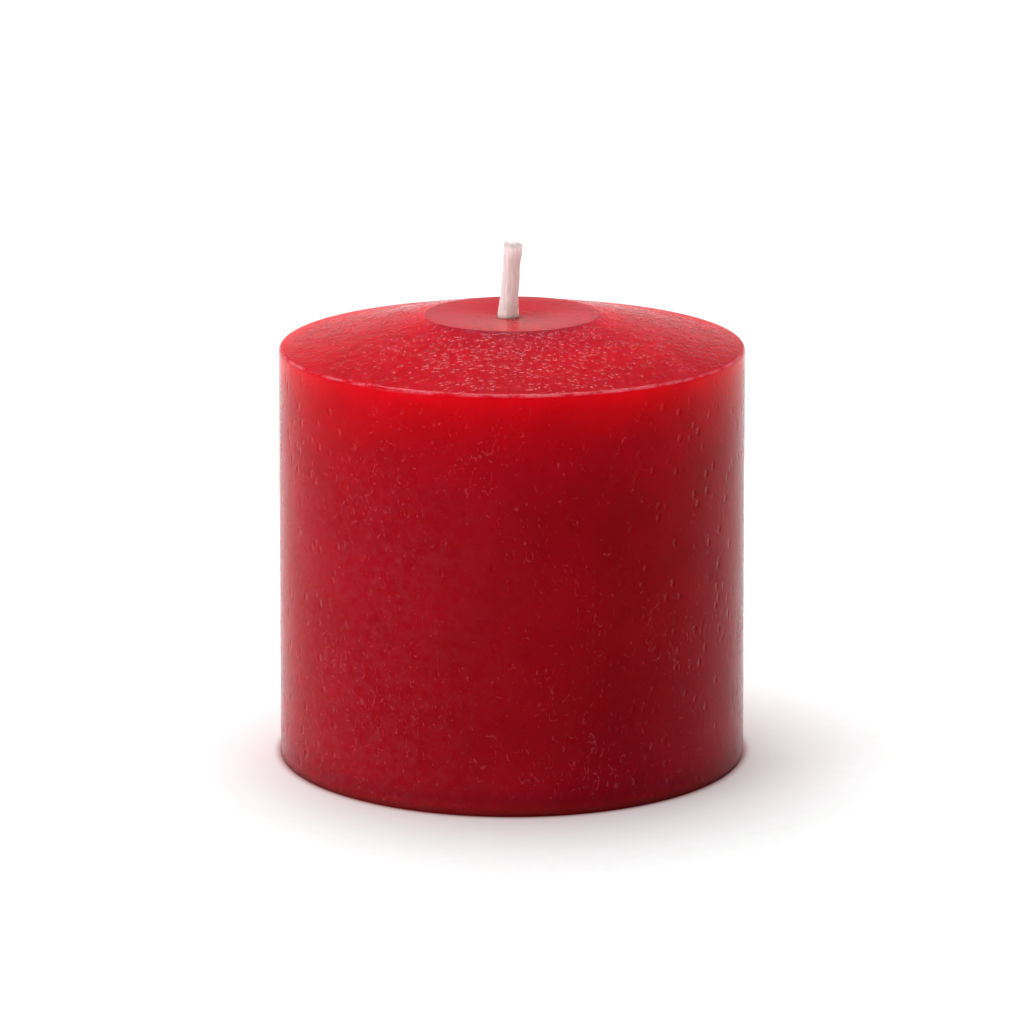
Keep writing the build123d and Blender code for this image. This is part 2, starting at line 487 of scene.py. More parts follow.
# The wick runs straight up to its bend, round the bend, and on in a lean.
STRAIGHT_LENGTH = BEND_HEIGHT - WICK_FOOT
BEND_TOP = BEND_HEIGHT + BEND_RADIUS * math.sin(LEAN)
LEANING_LENGTH = (WICK_TIP - WICK_RADIUS * math.sin(LEAN) - BEND_TOP) / math.cos(LEAN)
WICK_LENGTH = STRAIGHT_LENGTH + BEND_RADIUS * LEAN + LEANING_LENGTH


def wick_line(along):
    """The wick's middle at distances up it from its foot, and what is aside and ahead there."""
    turned = np.clip((along - STRAIGHT_LENGTH) / BEND_RADIUS, 0, LEAN)
    past = np.clip(along - STRAIGHT_LENGTH - BEND_RADIUS * LEAN, 0, None)
    zero = np.zeros_like(along)
    x = WICK_X + BEND_RADIUS * (1 - np.cos(turned)) + past * math.sin(LEAN)
    z = WICK_FOOT + np.clip(along, 0, STRAIGHT_LENGTH)
    z = z + BEND_RADIUS * np.sin(turned) + past * math.cos(LEAN)
    middle = np.stack([x, zero, z], -1)
    aside = np.stack([np.cos(turned), zero, -np.sin(turned)], -1)
    ahead = np.stack([np.sin(turned), zero, np.cos(turned)], -1)
    return middle, aside, ahead


def wick_steps(cut):
    """Distances up the wick: wide apart in the wax, close together where the wick shows."""
    shown_from = SEAL_BOTTOM - WICK_FOOT
    hidden = np.arange(0, shown_from, HIDDEN_STEP)
    shown = np.arange(shown_from, WICK_LENGTH - cut, SHOWN_STEP)
    return np.concatenate([hidden, shown])


def spokes(angle, aside):
    """Directions out of the wick's middle, at angles from what is aside."""
    return np.cos(angle)[..., None] * aside[:, None] + np.sin(angle)[..., None] * DEPTH_AXIS


def yarn_size(number, along, corner):
    """How uneven a yarn is: soft swellings, fibres, and a squeeze near its cut end."""
    along = along[:, None]
    wobble = 1 + 0.05 * np.sin(along / (0.9 * MM) + 3 * corner + number)
    fibre = 1 + 0.06 * np.cos(5 * corner + 2.6 * along / MM)
    squeeze = smoothstep(WICK_LENGTH - 0.7 * MM, WICK_LENGTH, along)
    return wobble * fibre * (1 - 0.25 * squeeze)


def make_yarn(rng, number, cotton):
    """One of the eight yarns of the braid. Odd yarns wind one way, even yarns the other."""
    way = 1 if number % 2 else -1
    start = TAU * ((number - 1) // 2) / YARNS_EACH_WAY
    along = wick_steps(rng.uniform(*YARN_CUT))
    middle, aside, ahead = wick_line(along)
    around = (start + way * BRAID_TURN * along)[:, None]
    outward = np.cos(around) * aside + np.sin(around) * DEPTH_AXIS
    onward = -np.sin(around) * aside + np.cos(around) * DEPTH_AXIS
    over = way * np.cos(YARNS_EACH_WAY * BRAID_TURN * along)
    centre = middle + outward * (BRAID_RADIUS + BRAID_SWING * over)[:, None]
    lay = math.atan(BRAID_TURN * BRAID_RADIUS)
    across = onward * math.cos(lay) - way * ahead * math.sin(lay)
    corner = np.arange(YARN_CORNERS)[None, :] * TAU / YARN_CORNERS
    size = yarn_size(number, along, corner)
    wide = (YARN_HALF_WIDTH * np.cos(corner) * size)[..., None]
    deep = (YARN_HALF_DEPTH * np.sin(corner) * size)[..., None]
    rings = centre[:, None] + across[:, None] * wide + outward[:, None] * deep
    rings[..., 2] = np.maximum(rings[..., 2], WICK_FOOT)
    tip = centre[-1] + (rings[-1] - centre[-1]) * 0.45 + ahead[-1] * 0.12 * MM
    foot = point_ring(centre[0], YARN_CORNERS)
    end = point_ring(centre[-1] + ahead[-1] * 0.16 * MM, YARN_CORNERS)
    piece = lattice(f"braid_yarn_{number}", np.concatenate([foot, rings, tip[None], end]))
    piece.data.materials.append(cotton)
    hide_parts(f"wick_yarn_{number}")
    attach(piece, "root")


def make_core(cotton):
    """The core strand, which ends a little proud of the yarns."""
    along = wick_steps(CORE_CUT)
    middle, aside, _ = wick_line(along)
    corner = np.arange(YARN_CORNERS)[None, :] * TAU / YARN_CORNERS
    squeeze = smoothstep(WICK_LENGTH - 0.3 * MM, WICK_LENGTH + 0.15 * MM, along)[:, None]
    size = CORE_RADIUS * (1 + 0.1 * np.cos(4 * corner + along[:, None] / MM))
    size = size * (1 - 0.5 * squeeze)
    rings = middle[:, None] + spokes(corner, aside) * size[..., None]
    foot = point_ring(middle[0], YARN_CORNERS)
    end = point_ring(rings[-1].mean(0), YARN_CORNERS)
    piece = lattice("core_strand", np.concatenate([foot, rings, end]))
    piece.data.materials.append(cotton)
    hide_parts("wick_core")
    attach(piece, "root")


def primer_unevenness(angle, above):
    """How uneven the film is: long ridges that wind slowly round the wick, and a drift."""
    twist = above / (9 * MM)
    ridge = 0.012 * np.cos(7 * angle + twist)
    ridge = ridge + 0.010 * np.cos(11 * angle - 1.6 * twist + 1.0)
    ridge = ridge + 0.010 * np.cos(19 * angle + 2.3 * twist + 2.0)
    return 1 + ridge + 0.015 * np.sin(above / (1.5 * MM) + 2 * angle)


def make_primer():
    """The film of pale wax round the braid. It flares at the seal and ends in a slanting dome."""
    angle = np.arange(PRIMER_CORNERS)[None, :] * TAU / PRIMER_CORNERS
    shaft_end = WICK_LENGTH + TIP_PROUD - TIP_ROUND
    shaft = np.arange(SEAL_BOTTOM - WICK_FOOT, shaft_end, PRIMER_STEP)
    turn = np.linspace(0, math.pi / 2, 10)[1:]
    along = np.concatenate([shaft, shaft[-1] + TIP_ROUND * np.sin(turn)])
    dome = np.concatenate([np.ones(len(shaft)), np.cos(turn) ** 0.5])[:, None]
    middle, aside, ahead = wick_line(along)
    above = np.clip(along - (SHOULDER_HEIGHT - WICK_FOOT), 0, None)[:, None]
    flare = PRIMER_FLARE * np.exp(-above / (1.6 * MM))
    swell = PRIMER_SWELL * smoothstep(7 * MM, 11 * MM, above)
    wind = BRAID_TURN * along[:, None]
    over = np.cos(YARNS_EACH_WAY * (angle - wind))
    under = np.cos(YARNS_EACH_WAY * (angle + wind))
    reach = PRIMER_RADIUS + flare + swell + PRIMER_BULGE * np.maximum(over, under)
    reach = reach * primer_unevenness(angle, above) * dome
    slant = -TIP_SLANT * np.cos(angle - 0.5) * smoothstep(9 * MM, 12 * MM, above)
    rings = middle[:, None] + spokes(angle, aside) * reach[..., None]
    rings = rings + ahead[:, None] * slant[..., None]
    foot = point_ring(middle[0], PRIMER_CORNERS)
    piece = lattice("primer_wax", np.concatenate([foot, rings]))
    piece.data.materials.append(primer_material())
    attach(piece, "root")


# ---------------------------------------------------------------- material helpers

def new_material(name):
    """A node material with its Principled shader."""
    material = bpy.data.materials.new(name)
    material.use_nodes = True
    return material, material.node_tree, material.node_tree.nodes["Principled BSDF"]


def node(tree, kind, **values):
    """A new node with its properties or inputs set."""
    made = tree.nodes.new(kind)
    for key, value in values.items():
        if key in made.inputs:
            made.inputs[key].default_value = value
        else:
            setattr(made, key, value)
    return made


def grey(level):
    """A colour with one level in all its channels."""
    return (level, level, level, 1)


def object_place(tree, upright=1):
    """The object's own coordinates. Below 1, upright draws a texture out up the candle."""
    place = node(tree, "ShaderNodeTexCoord")
    stretch = node(tree, "ShaderNodeMapping", Scale=(1, 1, upright))
    tree.links.new(place.outputs["Object"], stretch.inputs["Vector"])
    return stretch.outputs["Vector"]


def candle_place(tree):
    """Where a point of the candle is, as sockets: X, Y, distance from the axis and height."""
    split = node(tree, "ShaderNodeSeparateXYZ")
    tree.links.new(object_place(tree), split.inputs[0])
    x, y, height = split.outputs
    square = calc(tree, "ADD", calc(tree, "MULTIPLY", x, x), calc(tree, "MULTIPLY", y, y))
    return x, y, calc(tree, "SQRT", square), height


def noise(tree, scale, detail, roughness=0.5, upright=1, output="Fac"):
    """Noise in the object's own coordinates. scale is in features a metre."""
    made = node(tree, "ShaderNodeTexNoise", Scale=scale, Detail=detail, Roughness=roughness)
    tree.links.new(object_place(tree, upright), made.inputs["Vector"])
    return made.outputs[output]


def spots(tree, scale, place):
    """Distance to the nearest of scattered points, of which there are scale a metre.

    It is 1 where the nearest point is a usual gap between points away."""
    made = node(tree, "ShaderNodeTexVoronoi", Scale=scale, Randomness=1.0)
    tree.links.new(place, made.inputs["Vector"])
    return made.outputs["Distance"]


def ramp(tree, source, low, high, start=0.3, end=0.7):
    """Maps a value between start and end onto colours from low to high."""
    made = node(tree, "ShaderNodeValToRGB")
    made.color_ramp.elements[0].position = start
    made.color_ramp.elements[1].position = end
    made.color_ramp.elements[0].color = low
    made.color_ramp.elements[1].color = high
    tree.links.new(source, made.inputs["Fac"])
    return made.outputs["Color"]


def calc(tree, operation, first, *others):
    """The result of a sum on sockets or numbers, from left to right."""
    result = first
    for other in others or (0,):
        made = node(tree, "ShaderNodeMath", operation=operation)
        for entry, value in zip(made.inputs, (result, other)):
            if isinstance(value, (int, float)):
                entry.default_value = value
            else:
                tree.links.new(value, entry)
        result = made.outputs[0]
    return result


def fade(tree, value, low, high):
    """0 at low, 1 at high and smooth between them. low may be the greater."""
    made = node(tree, "ShaderNodeMapRange", interpolation_type="SMOOTHSTEP")
    made.inputs["From Min"].default_value = low
    made.inputs["From Max"].default_value = high
    tree.links.new(value, made.inputs["Value"])
    return made.outputs["Result"]


def mix_colour(tree, factor, first, second):
    """Blends two colours, each a socket or four numbers."""
    made = node(tree, "ShaderNodeMix", data_type="RGBA")
    tree.links.new(factor, made.inputs["Factor"])
    for name, value in (("A", first), ("B", second)):
        entry = next(i for i in made.inputs if i.name == name and i.type == "RGBA")
        if isinstance(value, tuple):
            entry.default_value = value
        else:
            tree.links.new(value, entry)
    return next(o for o in made.outputs if o.type == "RGBA")


def scale_vector(tree, vector, factor):
    """A colour or vector times a socket or number."""
    made = node(tree, "ShaderNodeVectorMath", operation="SCALE")
    tree.links.new(vector, made.inputs[0])
    if isinstance(factor, float):
        made.inputs["Scale"].default_value = factor
    else:
        tree.links.new(factor, made.inputs["Scale"])
    return made.outputs[0]


def relief(tree, height, depth, under=None, strength=1.0, pressed=False):
    """A normal for a relief of some depth, over another normal. It may be pressed in."""
    made = node(tree, "ShaderNodeBump", Strength=strength, Distance=depth, invert=pressed)
    tree.links.new(height, made.inputs["Height"])
    if under:
        tree.links.new(under, made.inputs["Normal"])
    return made.outputs["Normal"]


# ---------------------------------------------------------------- wax

# Paraffin, and how far light travels in it.
WAX_DEEP = (0.185, 0.0008, 0.0040, 1)
WAX_LIGHT = (0.225, 0.0014, 0.0056, 1)
WAX_TINT = (1.0, 0.30, 0.35, 1)
WAX_REACH = (1.0, 0.06, 0.07)
WAX_SCALE = 95 * MM
WAX_IOR = 1.165
WAX_ROUGHNESS = 0.18
POUR_ROUGHNESS = 0.4
SEAL_SCALE = 3 * MM
SEAL_ROUGHNESS = 0.14
CLOUD_PITCH = 90
WEAR_PITCH = 1400

# Painted light and shade: the wax is painted lighter near the seal, at the seal's edge and at
# the foot, which makes up for light lost where two pieces meet, and painted darker on the outer
# crown.
RING_PAINTED_LIGHT = 0.38
RING_WIDTH = 7 * MM
LIP_PAINTED_LIGHT = 0.15
LIP_WIDTH = 1.8 * MM
OUTER_PAINTED_SHADE = 0.16
OUTER_FROM = 8 * MM
BACK_DULL = 0.16  # added roughness on the far side of the crown, where reflections graze
FOOT_PAINTED_LIGHT = 0.32
FOOT_HEIGHT = 14 * MM
# Painted light at the foot: the lowest few millimetres of wax fade to this brighter red.
TOE_HEIGHT = 2.6 * MM
TOE_PAINTED_LIGHT = (0.70, 0.0075, 0.0085, 1)
SEAL_LIFT = 1.04
# Painted light at the seal's edge, which makes up for light lost where it meets the pillar.
SEAL_EDGE_PAINTED_LIGHT = 0.6
SEAL_EDGE_WIDTH = 0.8 * MM
SEAL_FEATHER = 3.0 * MM

# Marks on the skin. Every pitch or patch is in features a metre.
WAX_SCUFF = (0.245, 0.016, 0.024, 1)
FINE_PITCH = 520
FINE_KEPT = 0.755
BOLD_PITCH = 250
BOLD_KEPT = 0.85
SCUFF_UPRIGHT = 0.45
SCUFF_BREAK = 3.2  # breaks in a stroke for each feature of its line
SCUFF_PATCH = 70
SCUFF_WIDTH = 0.014
SCUFF_DEPTH = 0.10 * MM
# A pale mottle, partly the wax's own and partly a painted sheen on the side the left softbox
# lights.
WAX_BLOOM_AND_SHEEN = (0.205, 0.0085, 0.0150, 1)
BLOOM_PITCH = 600
DENT_PITCH = 420
DENT_UPRIGHT = 0.75
DENT_DEPTH = 0.13 * MM
STREAK_PITCH = 1100
STREAK_SHARE = 0.22
PEBBLE_PITCH = 1050
PEBBLE_WANDER = 0.5 * MM
PEBBLE_WANDER_PITCH = 700
PEBBLE_PATCH = 500
PEBBLE_HEIGHT = 0.17 * MM
SEAL_PEBBLES = 0.4  # the pebbles' height under the seal's thin edge
# A pale rim ring, partly wear and partly a painted highlight along the rounded edge.
WAX_RIM_AND_HIGHLIGHT = (0.255, 0.048, 0.064, 1)
RIM_PATCH = 240


def wax_base(name, scale, roughness):
    """Red paraffin: light travels far in it as red, and hardly as green or blue.

    Its colour and roughness come back as sockets that aren't linked to the shader yet."""
    material, tree, shader = new_material(name)
    clouds = noise(tree, CLOUD_PITCH, detail=3.0, roughness=0.6)
    colour = ramp(tree, clouds, WAX_DEEP, WAX_LIGHT)
    wear = noise(tree, WEAR_PITCH, detail=3.0)
    rough = ramp(tree, wear, grey(roughness - 0.05), grey(roughness + 0.07))
    shader.inputs["IOR"].default_value = WAX_IOR
    shader.inputs["Specular Tint"].default_value = WAX_TINT
    shader.subsurface_method = "RANDOM_WALK"
    shader.inputs["Subsurface Weight"].default_value = 1.0
    shader.inputs["Subsurface Radius"].default_value = WAX_REACH
    shader.inputs["Subsurface Scale"].default_value = scale
    return material, tree, shader, colour, rough


def below_rim(tree, height):
    """1 on the side and 0 on the rim."""
    return fade(tree, height, RIM_HEIGHT - 1 * MM, RIM_HEIGHT - 3 * MM)


def scuffs(tree, height, pitch, kept_from):
    """Short pale strokes on the side, most of them upright, in patches and near the base."""
    line = noise(tree, pitch, detail=1.0, upright=SCUFF_UPRIGHT)
    off_line = calc(tree, "ABSOLUTE", calc(tree, "SUBTRACT", line, 0.5))
    on_line = fade(tree, off_line, SCUFF_WIDTH, SCUFF_WIDTH * 0.3)
    broken = noise(tree, pitch * SCUFF_BREAK, detail=1.0)
    patch = calc(tree, "MULTIPLY", noise(tree, SCUFF_PATCH, detail=2.0), 0.45)
    nearer_base = calc(tree, "MULTIPLY", height, -1.7)
    share = calc(tree, "ADD", broken, patch, nearer_base)
    kept = fade(tree, share, kept_from, kept_from + 0.05)
    return calc(tree, "MULTIPLY", on_line, kept, below_rim(tree, height))


def bloom_and_left_sheen(tree, x, height):
    """A faint pale mottle on the side, with a painted sheen: thickest on the left, where the
    softbox lights it.
    """
    mottle = fade(tree, noise(tree, BLOOM_PITCH, detail=4.0, roughness=0.65), 0.30, 0.80)
    sheen_on_left = fade(tree, x, 12 * MM, -22 * MM)
    downward = fade(tree, height, RIM_HEIGHT - 2 * MM, RIM_HEIGHT - 26 * MM)
    return calc(tree, "MULTIPLY", mottle, sheen_on_left, downward)


def dents(tree, height):
    """Depth of the side's skin: scattered small upright dents, and faint streaks."""
    distance = spots(tree, DENT_PITCH, object_place(tree, DENT_UPRIGHT))
    streaks = noise(tree, STREAK_PITCH, detail=1.0, upright=DENT_UPRIGHT)
    streaks = calc(tree, "MULTIPLY", streaks, STREAK_SHARE)
    dent = calc(tree, "ADD", fade(tree, distance, 0.27, 0.08), streaks)
    return calc(tree, "MULTIPLY", dent, below_rim(tree, height))


def pebbles(tree):
    """Height of a skin of small round pebbles."""
    wander = noise(tree, PEBBLE_WANDER_PITCH, detail=1.0, output="Color")
    moved = node(tree, "ShaderNodeVectorMath", operation="ADD")
    tree.links.new(object_place(tree), moved.inputs[0])
    tree.links.new(scale_vector(tree, wander, PEBBLE_WANDER), moved.inputs[1])
    dome = fade(tree, spots(tree, PEBBLE_PITCH, moved.outputs[0]), 0.60, 0.0)
    grown = fade(tree, noise(tree, PEBBLE_PATCH, detail=1.0), 0.30, 0.65)
    return calc(tree, "MULTIPLY", dome, grown)


def crown_skin(tree, out, height):
    """Height of the crown's pebbly skin, strongest round the seal."""
    near = fade(tree, out, RIM_RADIUS + 12 * MM, SEAL_RADIUS + 2 * MM)
    past = fade(tree, out, SEAL_RADIUS - 0.2 * MM, SEAL_RADIUS + 0.8 * MM)
    top = fade(tree, height, RIM_HEIGHT - 0.6 * MM, RIM_HEIGHT)
    return calc(tree, "MULTIPLY", pebbles(tree), near, past, top)


def rim_wear_and_highlight(tree, out, height):
    """How worn the rim's edge is, with a painted highlight: a thin broken pale ring on the rounded
    edge.
    """
    off_ring = calc(tree, "ABSOLUTE", calc(tree, "SUBTRACT", height, RIM_HEIGHT - 0.15 * MM))
    ring = fade(tree, off_ring, 0.26 * MM, 0.08 * MM)
    edge = fade(tree, out, RIM_RADIUS - 1.2 * MM, RIM_RADIUS - 0.5 * MM)
    patchy = fade(tree, noise(tree, RIM_PATCH, detail=3.0, roughness=0.6), 0.35, 0.60)
    return calc(tree, "MULTIPLY", ring, edge, patchy)


def painted_light_and_shade(tree, out, height, crown, outer):
    """Painted light and shade, a factor on the wax's colour: above 1 near the seal and the foot,
    below 1 near the rim.
    """
    ring = fade(tree, out, SEAL_RADIUS + RING_WIDTH, SEAL_RADIUS)
    lip = fade(tree, out, SEAL_RADIUS + LIP_WIDTH, SEAL_RADIUS)
    foot = fade(tree, height, FOOT_HEIGHT, 0)
    return calc(
        tree, "ADD",
        calc(tree, "MULTIPLY", ring, crown, RING_PAINTED_LIGHT),
        calc(tree, "MULTIPLY", lip, crown, LIP_PAINTED_LIGHT),
        calc(tree, "MULTIPLY", foot, FOOT_PAINTED_LIGHT),
        calc(tree, "MULTIPLY", outer, -OUTER_PAINTED_SHADE),
        1.0,
    )


def pillar_normal(tree, marks, out, height):
    """The pillar's relief: scuffs, dents over them and pebbles over both."""
    grooved = relief(tree, marks, SCUFF_DEPTH, pressed=True)
    dented = relief(tree, dents(tree, height), DENT_DEPTH, under=grooved, pressed=True)
    return relief(tree, crown_skin(tree, out, height), PEBBLE_HEIGHT, under=dented)


def pillar_material():
    """The pillar's wax, scuffed on its side and pebbled on its crown."""
    material, tree, shader, colour, rough = wax_base("red_wax", WAX_SCALE, WAX_ROUGHNESS)
    x, y, out, height = candle_place(tree)
    crown = fade(tree, height, RIM_HEIGHT - 1 * MM, RIM_HEIGHT)
    outer = calc(tree, "MULTIPLY", fade(tree, out, SEAL_RADIUS + OUTER_FROM, RIM_RADIUS), crown)
    fine = scuffs(tree, height, FINE_PITCH, FINE_KEPT)
    bold = scuffs(tree, height, BOLD_PITCH, BOLD_KEPT)
    marks = calc(tree, "MAXIMUM", fine, bold)
    # A pale mottle, with a painted sheen on the left side.
    colour = mix_colour(tree, bloom_and_left_sheen(tree, x, height), colour, WAX_BLOOM_AND_SHEEN)
    colour = mix_colour(tree, marks, colour, WAX_SCUFF)
    # Rim wear, with a painted highlight along the rounded edge.
    colour = mix_colour(tree, rim_wear_and_highlight(tree, out, height), colour, WAX_RIM_AND_HIGHLIGHT)
    # Painted light near the seal and the foot, and painted shade on the outer crown.
    colour = scale_vector(tree, colour, painted_light_and_shade(tree, out, height, crown, outer))
    # Painted light at the foot, brightest at the very bottom.
    colour = mix_colour(tree, fade(tree, height, TOE_HEIGHT, 0), colour, TOE_PAINTED_LIGHT)
    dull = calc(tree, "MULTIPLY", outer, fade(tree, y, 2 * MM, 22 * MM), BACK_DULL)
    tree.links.new(colour, shader.inputs["Base Color"])
    tree.links.new(calc(tree, "ADD", rough, dull), shader.inputs["Roughness"])
    tree.links.new(pillar_normal(tree, marks, out, height), shader.inputs["Normal"])
    return material


def seal_material():
    """The seal's wax, smooth from pouring but for pebbles that show through its thin edge."""
    material, tree, shader, colour, rough = wax_base("clear_wax", SEAL_SCALE, SEAL_ROUGHNESS)
    _, _, out, _ = candle_place(tree)
    # Painted light: the seal's edge is painted lighter, which makes up for light lost where it
    # meets the pillar.
    edge = fade(tree, out, SEAL_RADIUS - SEAL_EDGE_WIDTH, SEAL_RADIUS)
    seal_painted_light = calc(tree, "ADD", calc(tree, "MULTIPLY", edge, SEAL_EDGE_PAINTED_LIGHT), SEAL_LIFT)
    thin = fade(tree, out, SEAL_RADIUS - SEAL_FEATHER, SEAL_RADIUS)
    skin = calc(tree, "MULTIPLY", pebbles(tree), thin)
    normal = relief(tree, skin, PEBBLE_HEIGHT * SEAL_PEBBLES)
    tree.links.new(scale_vector(tree, colour, seal_painted_light), shader.inputs["Base Color"])
    tree.links.new(rough, shader.inputs["Roughness"])
    tree.links.new(normal, shader.inputs["Normal"])
    return material


def pour_material():
    """The wax poured into the base's well, duller than the pillar's."""
    material, tree, shader, colour, rough = wax_base("poured_wax", WAX_SCALE, POUR_ROUGHNESS)
    tree.links.new(colour, shader.inputs["Base Color"])
    tree.links.new(rough, shader.inputs["Roughness"])
    return material


# ---------------------------------------------------------------- wick and tab materials

COTTON_DEEP = (0.70, 0.56, 0.52, 1)
COTTON_LIGHT = (0.90, 0.82, 0.79, 1)
COTTON_PITCH = 5200
COTTON_UPRIGHT = 0.12
COTTON_RELIEF = 0.03 * MM
PRIMER_DEEP = (0.32, 0.265, 0.265, 1)
PRIMER_LIGHT = (0.40, 0.370, 0.375, 1)
# Painted light at the film's foot: a pink glow from the red wax, and light the film loses there.
PRIMER_PAINTED_GLOW = (0.48, 0.37, 0.35, 1)
PRIMER_TIP = (0.19, 0.178, 0.186, 1)
PRIMER_PITCH = 3000
PRIMER_UPRIGHT = 0.10
PRIMER_RELIEF = 0.06 * MM
FOOT_BAND = 1.3 * MM  # the film is pinker this far above the seal
TIP_BAND = (1.3 * MM, 0.5 * MM)  # it darkens between these depths below the wick's tip
STEEL_DEEP = (0.55, 0.54, 0.52, 1)
STEEL_LIGHT = (0.74, 0.73, 0.71, 1)
STEEL_PITCH = 2600


def make_sheer(shader, weight, radius, scale):
    """Lets light travel a little way into a pale material."""
    shader.inputs["Subsurface Weight"].default_value = weight
    shader.inputs["Subsurface Radius"].default_value = radius
    shader.inputs["Subsurface Scale"].default_value = scale


def cotton_material():
    """Waxed cotton: streaks of fibre along the wick, pale and slightly sheer."""
    material, tree, shader = new_material("waxed_cotton")
    streaks = noise(tree, COTTON_PITCH, detail=3.0, roughness=0.6, upright=COTTON_UPRIGHT)
    colour = ramp(tree, streaks, COTTON_DEEP, COTTON_LIGHT, start=0.35, end=0.62)
    normal = relief(tree, streaks, COTTON_RELIEF, strength=0.5)
    tree.links.new(colour, shader.inputs["Base Color"])
    tree.links.new(normal, shader.inputs["Normal"])
    shader.inputs["Roughness"].default_value = 0.6
    shader.inputs["Sheen Weight"].default_value = 0.3
    shader.inputs["Sheen Roughness"].default_value = 0.4
    make_sheer(shader, weight=0.6, radius=(1.0, 0.7, 0.6), scale=0.5 * MM)
    return material


def primer_material():
    """Pale wax film over cotton: faint streaks that run up the wick, painted pinker and lighter at
    its foot.
    """
    material, tree, shader = new_material("primer_wax")
    streaks = noise(tree, PRIMER_PITCH, detail=4.0, roughness=0.65, upright=PRIMER_UPRIGHT)
    _, _, _, height = candle_place(tree)
    glow_at_foot = fade(tree, height, SHOULDER_HEIGHT + FOOT_BAND, SHOULDER_HEIGHT)
    at_tip = fade(tree, height, WICK_TIP - TIP_BAND[0], WICK_TIP - TIP_BAND[1])
    colour = ramp(tree, streaks, PRIMER_DEEP, PRIMER_LIGHT, start=0.35, end=0.65)
    # Painted light: pinker and lighter at the film's foot.
    colour = mix_colour(tree, glow_at_foot, colour, PRIMER_PAINTED_GLOW)
    colour = mix_colour(tree, at_tip, colour, PRIMER_TIP)
    normal = relief(tree, streaks, PRIMER_RELIEF, strength=0.5)
    tree.links.new(colour, shader.inputs["Base Color"])
    tree.links.new(normal, shader.inputs["Normal"])
    shader.inputs["Roughness"].default_value = 0.42
    make_sheer(shader, weight=1.0, radius=(1.0, 0.8, 0.75), scale=14 * MM)
    return material


def steel_material():
    """Tinned steel sheet, faintly brushed by the press."""
    material, tree, shader = new_material("tinned_steel")
    grain = noise(tree, STEEL_PITCH, detail=4.0)
    tree.links.new(ramp(tree, grain, STEEL_DEEP, STEEL_LIGHT), shader.inputs["Base Color"])
    tree.links.new(ramp(tree, grain, grey(0.22), grey(0.42)), shader.inputs["Roughness"])
    shader.inputs["Metallic"].default_value = 1.0
    return material


def dress(node_name, material):
    """Gives a CAD node that stays in view its material."""
    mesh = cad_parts[node_name].data
    mesh.materials.clear()
    mesh.materials.append(material)


# ---------------------------------------------------------------- stage

FLOOR_HALF = 6.0
FLOOR_LOW = grey(0.375)
FLOOR_HIGH = grey(0.385)
FLOOR_PITCH = 400
# Painted glow on the floor round the candle, of the red light that shines through the wax.
FLOOR_PAINTED_GLOW = (0.385, 0.352, 0.359, 1)  # lit by what shines through the wax
GLOW_WIDTH = 22 * MM
# Painted contact shadow on the floor round the candle's foot.
FLOOR_PAINTED_SHADOW = (0.14, 0.030, 0.028, 1)
CONTACT_WIDTH = 1.6 * MM
CONTACT_UNDER = 0.6 * MM  # how far under the candle the contact's shade is at its darkest

# The studio's brightness at the sine of the elevation, behind the candle and elsewhere.
SKY_BEHIND = ((0.10, 0.50), (0.20, 0.56), (0.34, 0.30), (0.50, 0.12), (0.76, 0.12), (1.0, 0.12))
SKY_AROUND = ((0.09, 0.58), (0.17, 0.34), (0.25, 0.24), (0.36, 0.16), (0.62, 0.12), (1.0, 0.12))
WALL_EDGE = (0.35, 0.80)  # the wall behind fades in between these Y parts of a direction

# Directions are azimuth and elevation, in degrees.
OVERHEAD_POWER = 8.1
OVERHEAD_SPREAD = math.radians(56)
OVERHEAD_FROM = (215, 82)
BACK_POWER = 6.5
BACK_SIZE = (1.1, 0.10)
BACK_DISTANCE = 1.5
BACK_FROM = (180, 52)
SIDE_POWER = 7.3
SIDE_SIZE = (0.45, 0.40)
SIDE_DISTANCE = 1.0
SIDE_FROM = (-56, 14)

CAMERA_DISTANCE = 0.782
CAMERA_PITCH = math.radians(14.06)
CAMERA_TARGET = (0, 0, 40 * MM)
CAMERA_LENS = 168.6
CAMERA_SENSOR = 36


def floor_material():
    """A pale matt sweep with barely visible grain, a painted faint red glow and a painted dark
    contact shadow.
    """
    material, tree, shader = new_material("studio_floor")
    _, _, out, _ = candle_place(tree)
    glow = fade(tree, out, BASE_RADIUS + GLOW_WIDTH, BASE_RADIUS)
    contact = fade(tree, out, BASE_RADIUS + CONTACT_WIDTH, BASE_RADIUS - CONTACT_UNDER)
    contact = calc(tree, "POWER", contact, 1.4)
    colour = ramp(tree, noise(tree, FLOOR_PITCH, detail=2.0), FLOOR_LOW, FLOOR_HIGH)
    # Painted red glow round the candle.
    colour = mix_colour(tree, glow, colour, FLOOR_PAINTED_GLOW)
    # Painted contact shadow at the candle's foot.
    colour = mix_colour(tree, contact, colour, FLOOR_PAINTED_SHADOW)
    tree.links.new(colour, shader.inputs["Base Color"])
    shader.inputs["Roughness"].default_value = 0.9
    shader.inputs["Specular IOR Level"].default_value = 0.0
    return material


def make_floor():
    """A wide pale floor under the candle."""
    corners = [(-1, -1), (1, -1), (1, 1), (-1, 1)]
    mesh = bpy.data.meshes.new("floor")
    mesh.from_pydata([(x * FLOOR_HALF, y * FLOOR_HALF, 0) for x, y in corners], [], [range(4)])
    floor = bpy.data.objects.new("floor", mesh)
    bpy.context.scene.collection.objects.link(floor)
    mesh.materials.append(floor_material())


